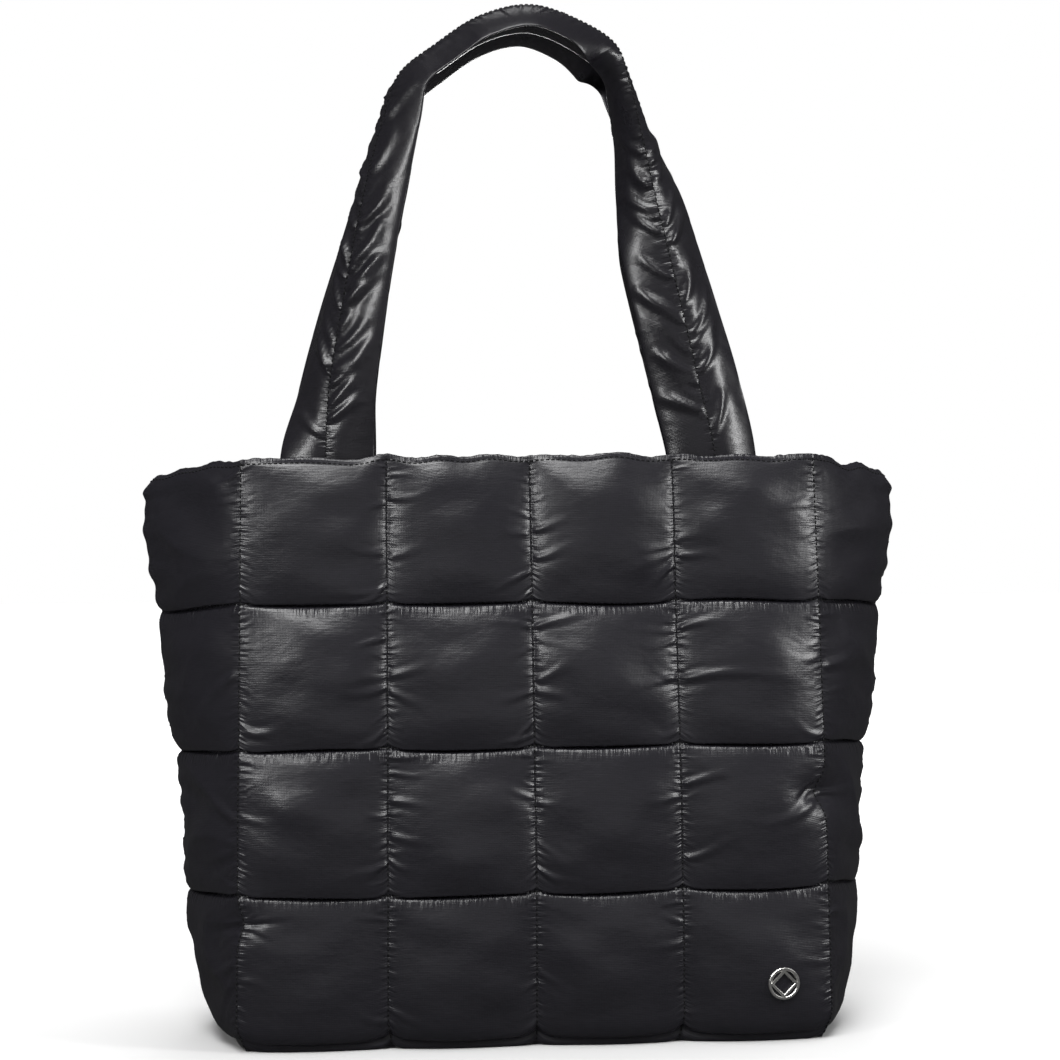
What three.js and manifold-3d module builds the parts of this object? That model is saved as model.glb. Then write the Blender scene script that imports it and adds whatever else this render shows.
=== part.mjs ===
// A quilted puffer tote bag, standing open on its base with both shoulder straps up.
// Two padded panels, front and back, each wrap half-way round the bag and meet at the side seams.
// They stand round a padded base. The straps are sewn inside the rim, and a small open metal badge
// is pinned to the lower right of the front.
// Millimetres, +Z up, front towards -Y, origin on the floor under the middle of the bag.

import * as THREE from "three";
import { LoftGeometry } from "three/addons/geometries/LoftGeometry.js";
import { mergeVertices } from "three/addons/utils/BufferGeometryUtils.js";
import Module from "manifold-3d";

// Body
const BODY_HEIGHT = 326; // floor to the rim, at the middle of the front
const BASE_WIDTH = 329; // from the left front fold to the right one, at the floor
const BASE_DEPTH = 150; // front to back, just above the floor
const MOUTH_WIDTH = 432; // side seam to side seam, at the rim
const MOUTH_FRONT_WIDTH = 321; // front fold to front fold, at the rim
const MOUTH_DEPTH = 112; // front to back, at the rim
const RIM_DIP = 8; // how much lower the rim is at the side seams
const BELLY = 5; // how far the middle of the front stands out before its folds
const UNDERTURN = 5; // how far the panels turn in under the bag to meet the base
const PANEL_LIFT = 1; // the panels' lower edges, above the floor
const SEAM_GAP = 0.3; // between pieces that are sewn together

// Quilting
const FRONT_COLUMNS = 4; // quilted columns between the front folds; each side has one more
const WALL_SEAM = 2.4; // thickness of the wall along a stitched seam
const OUTER_PUFF = 10; // how far the filling lifts the outer skin in the middle of a cell
const INNER_PUFF = 3; // and the inner skin
const PLUMPNESS = 0.6; // under 1, the filling stands up steeply beside each seam
const SAG = 0.87; // under 1, the filling hangs low in its cell
const SIDE_FILL = 0.6; // how full the side cells are, as a share of the ones in front

// Base
const BASE_EDGE = 4; // thickness at its seam
const BASE_PUFF = 4; // how far the filling lifts its upper skin
const BASE_ROWS = 2; // quilted rows, front to back

// Straps
const STRAP_WIDTH = 54; // across the flat strap
const STRAP_PADDING = 6; // thickest place, in the middle of each half
const STRAP_STITCHED = 2.2; // thickness along the line of stitches down its middle
const STRAP_DROP = 260; // from the rim to the top of a strap
const STRAP_TUCK = 26; // length sewn down inside the rim
const STRAP_APART = 58; // between the two straps at the top, ridge to ridge

// Badge
const BADGE_DIAMETER = 18;
const BADGE_THICKNESS = 1.8;
const BADGE_RING = 1.7; // width of its round rim
const BADGE_BAR = 1.1; // width of the bars inside the rim
const BADGE_BEVEL = 0.3;
const BADGE_COLUMN = 1.66; // place across the front, in columns from the middle
const BADGE_HEIGHT = 0.1; // place up the front, as a share of its height
const PRONG_WIDTH = 1.6;
const PRONG_THICKNESS = 0.8;
const PRONG_DEPTH = 4.5; // how far the two prongs behind the rim go into the padding

// The two straps: facing, 1 to the front and -1 to the rear, the spread between a strap's two ends,
// middle to middle, the middle of its ends beside the middle of the bag, and how much higher it
// stands than the drop.
const STRAPS = {
  front: { facing: 1, spread: 219, centre: -9, raised: 0 },
  rear: { facing: -1, spread: 228, centre: -3, raised: 3 },
};

// Quilted rows from the base up: the seam on top, as a share of the body's height, and how full
// the cells are, as a share of the puff.
const ROWS = [
  { top: 0.262, fill: 0.85 },
  { top: 0.508, fill: 1 },
  { top: 0.754, fill: 1 },
  { top: 1, fill: 0.95 },
];

// Form of the wall by height: how far the side seams have flared out to the mouth's width, how far
// the front has leaned back to the mouth's depth, and shares of the belly, the underturn and the
// dip of the side seams.
const WALL_SHAPE = [
  { at: 0, flare: 0, lean: 0, belly: 0, underturn: 1, dip: 0 },
  { at: 0.05, flare: 0.3, lean: 0, belly: 0.3, underturn: 0, dip: 0.15 },
  { at: 0.12, flare: 0.44, lean: 0, belly: 0.6, underturn: 0, dip: 0.35 },
  { at: 0.25, flare: 0.58, lean: 0.03, belly: 0.9, underturn: 0, dip: 0.6 },
  { at: 0.4, flare: 0.6, lean: 0.15, belly: 1, underturn: 0, dip: 0.65 },
  { at: 0.5, flare: 0.68, lean: 0.25, belly: 1, underturn: 0, dip: 0.65 },
  { at: 0.6, flare: 0.78, lean: 0.38, belly: 0.9, underturn: 0, dip: 0.65 },
  { at: 0.75, flare: 0.87, lean: 0.6, belly: 0.7, underturn: 0, dip: 0.65 },
  { at: 0.92, flare: 1, lean: 0.88, belly: 0.4, underturn: 0, dip: 0.9 },
  { at: 1, flare: 1, lean: 1, belly: 0.2, underturn: 0, dip: 1 },
];

// Course of the ridge down the middle of a strap, from its left end to its right one: shares of
// half the spread across, of the drop above the rim (of the tuck below it), and of the lean from
// the wall to the top. twist turns the ridge from facing out of the wall (0) to the outside of the
// loop (90), and fold bends each half back from flat, both in degrees.
const STRAP_COURSE = [
  { across: -1, up: -1, lean: 0, twist: 0, fold: 0 },
  { across: -1, up: 0.01, lean: 0, twist: 10, fold: 8 },
  { across: -0.99, up: 0.15, lean: 0.16, twist: 34, fold: 15 },
  { across: -0.93, up: 0.3, lean: 0.31, twist: 43, fold: 16 },
  { across: -0.86, up: 0.48, lean: 0.5, twist: 52, fold: 20 },
  { across: -0.78, up: 0.63, lean: 0.66, twist: 58, fold: 23 },
  { across: -0.7, up: 0.75, lean: 0.8, twist: 67, fold: 20 },
  { across: -0.62, up: 0.845, lean: 0.9, twist: 78, fold: 18 },
  { across: -0.43, up: 0.912, lean: 0.96, twist: 84, fold: 18 },
  { across: -0.2, up: 0.975, lean: 1, twist: 84, fold: 18 },
  { across: 0.06, up: 1, lean: 1, twist: 84, fold: 18 },
  { across: 0.3, up: 0.97, lean: 1, twist: 84, fold: 18 },
  { across: 0.5, up: 0.915, lean: 0.96, twist: 80, fold: 34 },
  { across: 0.57, up: 0.84, lean: 0.9, twist: 36, fold: 68 },
  { across: 0.63, up: 0.73, lean: 0.8, twist: 6, fold: 66 },
  { across: 0.69, up: 0.6, lean: 0.66, twist: 4, fold: 54 },
  { across: 0.76, up: 0.46, lean: 0.5, twist: 12, fold: 40 },
  { across: 0.84, up: 0.32, lean: 0.31, twist: 10, fold: 34 },
  { across: 0.92, up: 0.16, lean: 0.16, twist: 5, fold: 30 },
  { across: 1, up: 0.01, lean: 0, twist: 5, fold: 14 },
  { across: 1, up: -1, lean: 0, twist: 0, fold: 0 },
];

// How finely the skins are divided
const OUTER_STEPS = [0, 0.1, 0.3, 0.5, 0.7, 0.9]; // places across a cell, and up it
const INNER_STEPS = [0, 0.33, 0.67]; // places across a cell on the inner skin
const BASE_STEPS = [0, 0.15, 0.5, 0.85]; // places across a cell of the base
const STRAP_SECTIONS = 54; // along one strap
const STRAP_HALF_STEPS = [0.25, 0.5, 0.8]; // places across half a strap, between stitches and edge

const NYLON = { color: 0x1b1b1e, roughness: 0.42, metalness: 0 };
const METAL = { color: 0xc9c9cc, roughness: 0.22, metalness: 1 };

const FOLD = FRONT_COLUMNS / 2; // column number of the front folds
const SIDE_SEAM = FOLD + 1; // and of the side seams
const PROBE = 1e-3; // step, in columns or height, for measuring a slope

const { lerp, clamp, degToRad } = THREE.MathUtils;
const wasm = await Module();
wasm.setup();

// One column of a table at a place between its rows, on a smooth curve that doesn't overshoot them.
function along(table, column, at) {
  const last = table.length - 1;
  let i = 0;
  while (i < last - 1 && at > table[i + 1].at) i++;
  const rise = (k) => (table[k + 1][column] - table[k][column]) / (table[k + 1].at - table[k].at);
  const slope = (k) => {
    if (k === 0) return rise(0);
    if (k === last) return rise(last - 1);
    const [a, b] = [rise(k - 1), rise(k)];
    return a * b > 0 ? (2 * a * b) / (a + b) : 0;
  };
  const span = table[i + 1].at - table[i].at;
  const t = clamp((at - table[i].at) / span, 0, 1);
  const [p, q] = [table[i][column], table[i + 1][column]];
  const [m, n] = [slope(i) * span, slope(i + 1) * span];
  return p + t * (m + t * (3 * (q - p) - 2 * m - n + t * (2 * (p - q) + m + n)));
}

// All places along a run of cells, with the same steps in each, and the end of the last cell.
function places(cells, steps) {
  const found = [];
  for (let i = 0; i + 1 < cells.length; i++) {
    for (const step of steps) found.push(lerp(cells[i], cells[i + 1], step));
  }
  return [...found, cells.at(-1)];
}

// The front wall

// A point on the stitched surface, in the middle of the wall's thickness. column is 0 in the
// middle of the front and SIDE_SEAM at the right side seam; height is 0 at the base, 1 at the rim.
function wallPoint(column, height) {
  const shape = (name) => along(WALL_SHAPE, name, height);
  const inFront = Math.min(Math.abs(column), FOLD);
  const onSide = Math.abs(column) - inFront;
  const under = UNDERTURN * shape("underturn");
  const foldX = lerp(BASE_WIDTH, MOUTH_FRONT_WIDTH, height) / 2 - under;
  const flare = (shape("flare") * (MOUTH_WIDTH - MOUTH_FRONT_WIDTH)) / 2;
  const halfDepth = lerp(BASE_DEPTH, MOUTH_DEPTH, shape("lean")) / 2 - under;
  const belly = BELLY * shape("belly") * (1 - (inFront / FOLD) ** 2);
  return new THREE.Vector3(
    Math.sign(column) * ((foldX * inFront) / FOLD + flare * onSide),
    -lerp(halfDepth + belly, SEAM_GAP / 2, onSide),
    lerp(PANEL_LIFT, BODY_HEIGHT, height) - RIM_DIP * shape("dip") * onSide,
  );
}

// Outward direction of the wall, and how much longer an offset has to be where the wall bends
// there, so that its thickness stays the same on both sides of the bend.
function wallNormal(column, height) {
  const facing = (place) => {
    const c = clamp(place, -SIDE_SEAM + PROBE, SIDE_SEAM - PROBE);
    const h = clamp(height, PROBE, 1 - PROBE);
    const across = wallPoint(c + PROBE, h).sub(wallPoint(c - PROBE, h));
    const up = wallPoint(c, h + PROBE).sub(wallPoint(c, h - PROBE));
    return across.cross(up).normalize();
  };
  const left = facing(column - 2 * PROBE);
  const normal = left.clone().add(facing(column + 2 * PROBE)).normalize();
  if (Math.abs(column) === SIDE_SEAM) normal.set(Math.sign(column), 0, 0);
  return { normal, stretch: 1 / normal.dot(left) };
}

// How much of its puff a skin has there: none on a seam, all of it in the middle of a full cell.
function pillow(column, height) {
  const row = Math.max(ROWS.findIndex(({ top }) => height <= top), 0);
  const bottom = row > 0 ? ROWS[row - 1].top : 0;
  const across = column - Math.floor(column);
  const up = ((height - bottom) / (ROWS[row].top - bottom)) ** SAG;
  const rise = Math.max(Math.sin(Math.PI * across) * Math.sin(Math.PI * up), 0);
  const fill = ROWS[row].fill * (Math.abs(column) > FOLD ? SIDE_FILL : 1);
  return fill * rise ** PLUMPNESS;
}

// A point of the wall's skin, at half the seam's thickness and its puff from the stitched surface.
// side is 1 for the outer skin and -1 for the inner one.
function skinPoint(column, height, side) {
  const { normal, stretch } = wallNormal(column, height);
  const puff = (side > 0 ? OUTER_PUFF : INNER_PUFF) * pillow(column, height);
  const offset = side * ((WALL_SEAM / 2) * stretch + puff);
  return wallPoint(column, height).addScaledVector(normal, offset);
}

// One padded panel, lofted up from its lower edge. facing is 1 for the front and -1 for the back,
// which is its mirror image.
function panelGeometry(facing) {
  const columns = Array.from({ length: 2 * SIDE_SEAM + 1 }, (_, i) => i - SIDE_SEAM);
  const outer = places(columns, OUTER_STEPS);
  const inner = places(columns, INNER_STEPS).reverse();
  const heights = places([0, ...ROWS.map(({ top }) => top)], OUTER_STEPS);
  const sections = heights.map((height) => {
    const ring = [
      ...outer.map((column) => skinPoint(column, height, 1)),
      ...inner.map((column) => skinPoint(column, height, -1)),
    ];
    ring.forEach((point) => (point.y *= facing));
    return facing > 0 ? ring : ring.reverse();
  });
  return new LoftGeometry(sections, { capStart: true, capEnd: true });
}

// The base, lofted from left to right inside the panels' lower edges, with a flat underside.
function baseGeometry() {
  const margin = WALL_SEAM / 2 + UNDERTURN + SEAM_GAP;
  const halfWidth = BASE_WIDTH / 2 - margin - WALL_SEAM / 2; // the side walls slope more
  const halfDepth = BASE_DEPTH / 2 - margin;
  const cells = (count) => Array.from({ length: count + 1 }, (_, i) => i / count);
  const topSkin = places(cells(BASE_ROWS), BASE_STEPS);
  const wave = (share, count) => Math.abs(Math.sin(Math.PI * share * count)) ** PLUMPNESS;
  const sections = places(cells(FRONT_COLUMNS), BASE_STEPS).map((across) => {
    const x = lerp(-halfWidth, halfWidth, across);
    const top = topSkin.map((share) => {
      const z = BASE_EDGE + BASE_PUFF * wave(across, FRONT_COLUMNS) * wave(share, BASE_ROWS);
      return new THREE.Vector3(x, lerp(-halfDepth, halfDepth, share), z);
    });
    const underside = [1, -1].map((end) => new THREE.Vector3(x, end * halfDepth, 0));
    return [...top, ...underside].reverse();
  });
  return new LoftGeometry(sections, { capStart: true, capEnd: true });
}

// The straps

// How far in front of the bag's middle plane a strap's end lies, flat against the fullest part of
// the wall's inner skin beside it.
const strapSeat = (() => {
  const depths = [];
  for (let below = 0; below <= 4; below++) {
    const height = 1 - (below / 4) * (STRAP_TUCK / BODY_HEIGHT);
    for (let column = FOLD - 1; column <= FOLD; column += 0.25) {
      depths.push(-skinPoint(column, height, -1).y);
    }
  }
  return Math.min(...depths) - SEAM_GAP - STRAP_PADDING / 2;
})();

// A strap lofted along its ridge. Each section is two padded halves, joined along the stitches.
function strapGeometry({ facing, spread, centre, raised }) {
  const drop = STRAP_DROP + raised - STRAP_STITCHED / 2;
  const course = new THREE.CatmullRomCurve3(
    STRAP_COURSE.map(
      ({ across, up, lean }) =>
        new THREE.Vector3(
          centre + (across * spread) / 2,
          -lerp(strapSeat, STRAP_APART / 2, lean),
          BODY_HEIGHT + up * (up < 0 ? STRAP_TUCK : drop),
        ),
    ),
    false,
    "centripetal",
  );
  const turns = STRAP_COURSE.map((row, i) => ({ ...row, at: i }));
  const halfSteps = STRAP_HALF_STEPS.map((step) => ({ step, padded: true }));
  const oneHalf = [{ step: 0 }, ...halfSteps, { step: 1 }];
  const across = [
    ...oneHalf.toReversed().map((place) => ({ ...place, half: -1 })),
    ...oneHalf.slice(1).map((place) => ({ ...place, half: 1 })),
  ];

  const sections = Array.from({ length: STRAP_SECTIONS + 1 }, (_, i) => {
    const u = i / STRAP_SECTIONS;
    const ridge = course.getPointAt(u);
    const station = course.getUtoTmapping(u) * (STRAP_COURSE.length - 1);
    const twist = degToRad(along(turns, "twist", station));
    const fold = degToRad(along(turns, "fold", station));

    // The ridge faces forward before the twist, and out of the loop after it.
    const tangent = course.getTangentAt(u);
    const outOfLoop = tangent.clone().cross(new THREE.Vector3(0, 1, 0)).normalize();
    const forward = tangent.clone().cross(outOfLoop);
    const mix = (a, p, b, q) => a.clone().multiplyScalar(p).addScaledVector(b, q);
    const ridgeFaces = mix(forward, Math.cos(twist), outOfLoop, Math.sin(twist));
    const inward = mix(forward, Math.sin(twist), outOfLoop, -Math.cos(twist));

    const skin = (side) => ({ step, half, padded }) => {
      const run = mix(inward, half * Math.cos(fold), ridgeFaces, -Math.sin(fold));
      const faces = mix(ridgeFaces, Math.cos(fold), inward, half * Math.sin(fold));
      if (step === 0) faces.copy(ridgeFaces);
      const fill = STRAP_PADDING - STRAP_STITCHED / 2;
      const bulge = padded ? fill * Math.sin(Math.PI * step) : 0;
      const thickness = step === 1 ? 0 : STRAP_STITCHED * (1 - step) + bulge;
      return ridge
        .clone()
        .addScaledVector(run, (step * STRAP_WIDTH) / 2)
        .addScaledVector(faces, (side * thickness) / 2);
    };
    const ring = [...across.map(skin(1)), ...across.slice(1, -1).reverse().map(skin(-1))];
    ring.forEach((point) => (point.y *= facing));
    return facing > 0 ? ring : ring.reverse();
  });
  return new LoftGeometry(sections, { capStart: true, capEnd: true });
}

// The badge

// A frame on the front's outer skin where the badge sits, its z pointing out of the bag.
function badgeFrame() {
  const at = (column, height) => skinPoint(column, height, 1);
  const centre = at(BADGE_COLUMN, BADGE_HEIGHT);
  const right = at(BADGE_COLUMN + PROBE, BADGE_HEIGHT).sub(centre).normalize();
  const up = at(BADGE_COLUMN, BADGE_HEIGHT + PROBE).sub(centre);
  const out = right.clone().cross(up).normalize();
  centre.addScaledVector(out, SEAM_GAP);
  return new THREE.Matrix4().makeBasis(right, out.clone().cross(right), out).setPosition(centre);
}

// A round rim with a square of four bars inside it, its corners on the rim.
function badgeFace() {
  const radius = BADGE_DIAMETER / 2 - BADGE_BEVEL;
  const hole = radius - BADGE_RING + 2 * BADGE_BEVEL;
  const corner = radius - BADGE_RING / 2; // of the bars' outer edges
  const reach = corner * Math.SQRT1_2; // from the middle to a bar's outer edge
  const face = new THREE.Shape().absarc(0, 0, radius, 0, 2 * Math.PI);
  const inside = (reach - BADGE_BAR) * Math.SQRT2;
  const square = [0, 1, 2, 3].map((turn) =>
    new THREE.Vector2(inside, 0).rotateAround(new THREE.Vector2(), (turn * Math.PI) / 2),
  );
  face.holes.push(new THREE.Path(square));
  const half = Math.acos(reach / hole); // of the arc that a bar cuts off inside the rim
  for (let turn = 0; turn < 4; turn++) {
    const middle = ((turn + 0.5) * Math.PI) / 2;
    face.holes.push(new THREE.Path().absarc(0, 0, hole, middle - half, middle + half));
  }
  return face;
}

function badgeGeometry() {
  return new THREE.ExtrudeGeometry(badgeFace(), {
    depth: BADGE_THICKNESS - 2 * BADGE_BEVEL,
    bevelThickness: BADGE_BEVEL,
    bevelSize: BADGE_BEVEL,
    bevelSegments: 1,
    curveSegments: 12,
  }).translate(0, 0, BADGE_BEVEL);
}

// The two prongs behind the left and right of the rim, or the slots for them if grown.
function prongGeometries(grow) {
  const reach = BADGE_DIAMETER / 2 - BADGE_RING / 2;
  const overlap = BADGE_THICKNESS / 2;
  return [-1, 1].map((side) =>
    new THREE.BoxGeometry(
      PRONG_THICKNESS + 2 * grow,
      PRONG_WIDTH + 2 * grow,
      PRONG_DEPTH + overlap + grow,
    ).translate(side * reach, 0, (overlap - PRONG_DEPTH - grow) / 2),
  );
}

// Solids

function solidOf(geometry) {
  const bare = new THREE.BufferGeometry()
    .setAttribute("position", geometry.attributes.position)
    .setIndex(geometry.index);
  const merged = mergeVertices(bare, 1e-4);
  return new wasm.Manifold(
    new wasm.Mesh({
      numProp: 3,
      vertProperties: merged.attributes.position.array,
      triVerts: new Uint32Array(merged.index.array),
    }),
  );
}

function geometryOf(solid) {
  const { vertProperties, triVerts } = solid.getMesh();
  return new THREE.BufferGeometry()
    .setAttribute("position", new THREE.BufferAttribute(vertProperties, 3))
    .setIndex(new THREE.BufferAttribute(triVerts, 1));
}

function joined(first, others) {
  return geometryOf(others.reduce((solid, other) => solid.add(solidOf(other)), solidOf(first)));
}

function cut(first, others) {
  return geometryOf(others.reduce((solid, other) => solid.subtract(solidOf(other)), solidOf(first)));
}

// Assembly

const bag = new THREE.Group();

function addPiece(name, geometry, finish) {
  const mesh = new THREE.Mesh(geometry, new THREE.MeshStandardMaterial(finish));
  mesh.geometry.computeVertexNormals();
  mesh.name = name;
  bag.add(mesh);
  return mesh;
}

const onFront = badgeFrame();
const slots = prongGeometries(SEAM_GAP).map((slot) => slot.applyMatrix4(onFront));

addPiece("front_panel", cut(panelGeometry(1), slots), NYLON);
addPiece("back_panel", panelGeometry(-1), NYLON);
addPiece("base_panel", baseGeometry(), NYLON);
addPiece("front_strap", strapGeometry(STRAPS.front), NYLON);
addPiece("rear_strap", strapGeometry(STRAPS.rear), NYLON);
const badge = addPiece("badge", joined(badgeGeometry(), prongGeometries(0)), METAL);
badge.applyMatrix4(onFront);

export default bag;
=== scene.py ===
# A quilted puffer tote bag in glossy black nylon, standing open with both shoulder straps up.
# It is put together in the order it is sewn: front, back, lining, base, straps, stitching, badge.

import math

import bpy
import numpy as np
from mathutils import Matrix, Vector


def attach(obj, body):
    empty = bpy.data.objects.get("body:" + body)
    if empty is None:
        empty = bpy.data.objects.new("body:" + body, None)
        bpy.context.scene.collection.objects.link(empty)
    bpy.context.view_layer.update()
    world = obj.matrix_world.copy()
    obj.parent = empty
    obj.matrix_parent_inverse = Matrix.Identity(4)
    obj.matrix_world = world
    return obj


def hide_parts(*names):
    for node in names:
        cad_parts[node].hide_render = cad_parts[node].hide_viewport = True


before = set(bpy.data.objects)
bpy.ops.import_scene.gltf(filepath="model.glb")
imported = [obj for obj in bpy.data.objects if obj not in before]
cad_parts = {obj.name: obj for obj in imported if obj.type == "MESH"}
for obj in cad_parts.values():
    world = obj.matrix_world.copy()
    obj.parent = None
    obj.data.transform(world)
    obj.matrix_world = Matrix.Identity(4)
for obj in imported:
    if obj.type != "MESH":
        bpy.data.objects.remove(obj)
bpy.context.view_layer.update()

# Camera
# Level with the middle of the bag and straight in front of it, a little to its left, through a
# long lens. The picture is tipped by half a degree.
CAMERA_AZIMUTH = math.radians(-4.66)
CAMERA_DISTANCE = 1.49
CAMERA_ASIDE = 0.0046
CAMERA_HEIGHT = 0.2857
CAMERA_ROLL = math.radians(-0.5)
CAMERA_LENS = 86.8

away = Vector((math.sin(CAMERA_AZIMUTH), -math.cos(CAMERA_AZIMUTH), 0))
to_right = Vector((math.cos(CAMERA_AZIMUTH), math.sin(CAMERA_AZIMUTH), 0))
upward = Vector((0, 0, 1))
camera_right = to_right * math.cos(CAMERA_ROLL) + upward * math.sin(CAMERA_ROLL)
camera_up = upward * math.cos(CAMERA_ROLL) - to_right * math.sin(CAMERA_ROLL)
camera = bpy.data.objects.new("camera", bpy.data.cameras.new("camera"))
camera.data.lens = CAMERA_LENS
camera.data.sensor_width = 36
camera.matrix_world = Matrix.Translation(
    away * CAMERA_DISTANCE + to_right * CAMERA_ASIDE + upward * CAMERA_HEIGHT
) @ Matrix((camera_right, camera_up, away)).transposed().to_4x4()
bpy.context.scene.collection.objects.link(camera)
bpy.context.scene.camera = camera

# Studio
# A pale floor in a white room, two very wide soft lights above the bag and in front of it, and
# smaller ones round it that draw the bright edges on the folds. The floor pales with distance.
ROOM_GLOW = 0.045  # how much the room lights the bag, where it looks white itself
FLOOR_HALF = 9
FLOOR_FADE = (0.5, 2.2)  # from where to where the floor pales
FLOOR_GREYS = (0.55, 0.76)
LIGHTS_AIM = Vector((0, 0, 0.3))
TOP_LIGHTS = [
    {"name": "front_top_light", "from": (-0.25, -0.75, 1.3), "strength": 2.5, "angle": 28},
    {"name": "overhead_light", "from": (0.1, 0.2, 1.2), "strength": 3.0, "angle": 50},
]
SIDE_LIGHTS = [
    {"name": "left_light", "at": (-1.5, -1.5, 1.2), "size": (0.35, 0.7), "watts": 19},
    {"name": "right_light", "at": (1.7, -0.9, 1.0), "size": (0.3, 1.0), "watts": 22},
    {"name": "front_light", "at": (0.3, -3.2, 0.5), "size": (2.6, 1.2), "watts": 3},
    {"name": "strap_light", "at": (0, 0.9, 1.9), "size": (0.6, 0.3), "watts": 1.2},
    {"name": "back_light", "at": (0.2, 2.2, 0.8), "size": (0.6, 0.8), "watts": 12},
]

world = bpy.data.worlds.new("studio")
world.use_nodes = True
room, background = world.node_tree.nodes, world.node_tree.nodes["Background"]
seen = room.new("ShaderNodeLightPath")
brightness = room.new("ShaderNodeMapRange")
brightness.inputs["To Min"].default_value = ROOM_GLOW
brightness.inputs["To Max"].default_value = 1.0
world.node_tree.links.new(seen.outputs["Is Camera Ray"], brightness.inputs["Value"])
world.node_tree.links.new(brightness.outputs["Result"], background.inputs["Strength"])
background.inputs["Color"].default_value = (1, 1, 1, 1)
bpy.context.scene.world = world
bpy.context.scene.view_settings.view_transform = "Standard"
for light in TOP_LIGHTS:
    lamp = bpy.data.lights.new(light["name"], "SUN")
    lamp.energy = light["strength"]
    lamp.angle = math.radians(light["angle"])
    stand = bpy.data.objects.new(light["name"], lamp)
    stand.rotation_euler = Vector(light["from"]).to_track_quat("Z", "Y").to_euler()
    stand.visible_glossy = light["name"] != "overhead_light"
    bpy.context.scene.collection.objects.link(stand)
for light in SIDE_LIGHTS:
    lamp = bpy.data.lights.new(light["name"], "AREA")
    lamp.shape = "RECTANGLE"
    lamp.size, lamp.size_y = light["size"]
    lamp.energy = light["watts"]
    stand = bpy.data.objects.new(light["name"], lamp)
    stand.location = light["at"]
    stand.rotation_euler = (stand.location - LIGHTS_AIM).to_track_quat("Z", "Y").to_euler()
    stand.visible_camera = False
    bpy.context.scene.collection.objects.link(stand)


def new_mesh(name, points, faces):
    """A new smooth piece, made of these points and faces."""
    mesh = bpy.data.meshes.new(name)
    mesh.from_pydata(np.asarray(points).tolist(), [], [list(face) for face in faces])
    mesh.shade_smooth()
    piece = bpy.data.objects.new(name, mesh)
    bpy.context.scene.collection.objects.link(piece)
    return piece


corners = [(x * FLOOR_HALF, y * FLOOR_HALF, 0) for x, y in ((-1, -1), (1, -1), (1, 1), (-1, 1))]
floor = new_mesh("floor", corners, [(0, 1, 2, 3)])
floor_paint = bpy.data.materials.new("floor_paint")
floor_paint.use_nodes = True
surface = floor_paint.node_tree.nodes["Principled BSDF"]
surface.inputs["Roughness"].default_value = 0.9
surface.inputs["Specular IOR Level"].default_value = 0
place = floor_paint.node_tree.nodes.new("ShaderNodeNewGeometry")
distance = floor_paint.node_tree.nodes.new("ShaderNodeVectorMath")
distance.operation = "LENGTH"
grey = floor_paint.node_tree.nodes.new("ShaderNodeMapRange")
for key, value in zip(("From Min", "From Max", "To Min", "To Max"), (*FLOOR_FADE, *FLOOR_GREYS)):
    grey.inputs[key].default_value = value
floor_paint.node_tree.links.new(place.outputs["Position"], distance.inputs[0])
floor_paint.node_tree.links.new(distance.outputs["Value"], grey.inputs["Value"])
floor_paint.node_tree.links.new(grey.outputs["Result"], surface.inputs["Base Color"])
floor.data.materials.append(floor_paint)
floor.visible_glossy = False

# Front panel
# The padded front of the bag with the front halves of both its sides: one nylon skin over
# wadding, quilted in squares. The skin is cut longer than the seams it is sewn to, so it
# gathers beside the thread. Its upper edge is turned over the rim.
BODY_HEIGHT = 0.326
BASE_WIDTH = 0.329
BASE_DEPTH = 0.150
MOUTH_WIDTH = 0.432
MOUTH_FRONT_WIDTH = 0.321
MOUTH_DEPTH = 0.112
RIM_DIP = 0.008
BELLY = 0.005
UNDERTURN = 0.005
PANEL_LIFT = 0.001
SEAM_GAP = 0.0003
WALL_SEAM = 0.0024
OUTER_PUFF = 0.0095
INNER_PUFF = 0.003
PLUMP_ACROSS = 0.75
PLUMP_UP = 0.5
SAG = 0.87
SIDE_FILL = 0.7
DROOP = 0.0075
COLUMN_WIDTH = 0.0803
SIDE_COLUMN_WIDTH = 0.072
FOLD = 2
SIDE_SEAM = 3
SEAMS_ACROSS = (-3, -2, -1, 0, 1, 2, 3)
ROW_TOPS = (0, 0.262, 0.508, 0.754, 1)
ROW_FILL = (0.85, 1, 1, 0.95)
WALL_SHAPE = {
    "height": (0, 0.05, 0.12, 0.25, 0.4, 0.5, 0.6, 0.75, 0.92, 1),
    "flare": (0, 0.3, 0.44, 0.58, 0.6, 0.68, 0.78, 0.87, 1, 1),
    "lean": (0, 0, 0, 0.03, 0.15, 0.25, 0.38, 0.6, 0.88, 1),
    "belly": (0, 0.3, 0.6, 0.9, 1, 1, 0.9, 0.7, 0.4, 0.2),
    "underturn": (1, 0, 0, 0, 0, 0, 0, 0, 0, 0),
    "dip": (0, 0.15, 0.35, 0.6, 0.65, 0.65, 0.65, 0.65, 0.9, 1),
}
SEAM_WANDER = 0.0007
RIM_RIPPLE = 0.0009
SIDE_RIPPLE = 0.0009
CORNER_DROP = 0.004
CORNER_REACH = 0.16
SIDE_NOTCH = 0.0026
KINKS = ((2, 0.42, 0.0065), (-2, 0.215, 0.0035))  # column, height and depth of dents in the folds
PROBE = 1e-3
SIM_STEPS = 30
SIM_FRAMES = 24
CLOTH_SLACK = (1.01, 1, 1.05)
PANEL_PRESSURE = 12
SIDE_HOLD = 0.006
COLUMN_STEPS = 48
ROW_STEPS = 82
CROWDING = 0.45
SLACK_RELIEF = 0.0006
SIDE_CRUMPLE = 0.0018
SEAM_GROOVE = 0.0011
HEM_GROOVE = 0.0020
HEM_HEIGHT = 0.0075
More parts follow.
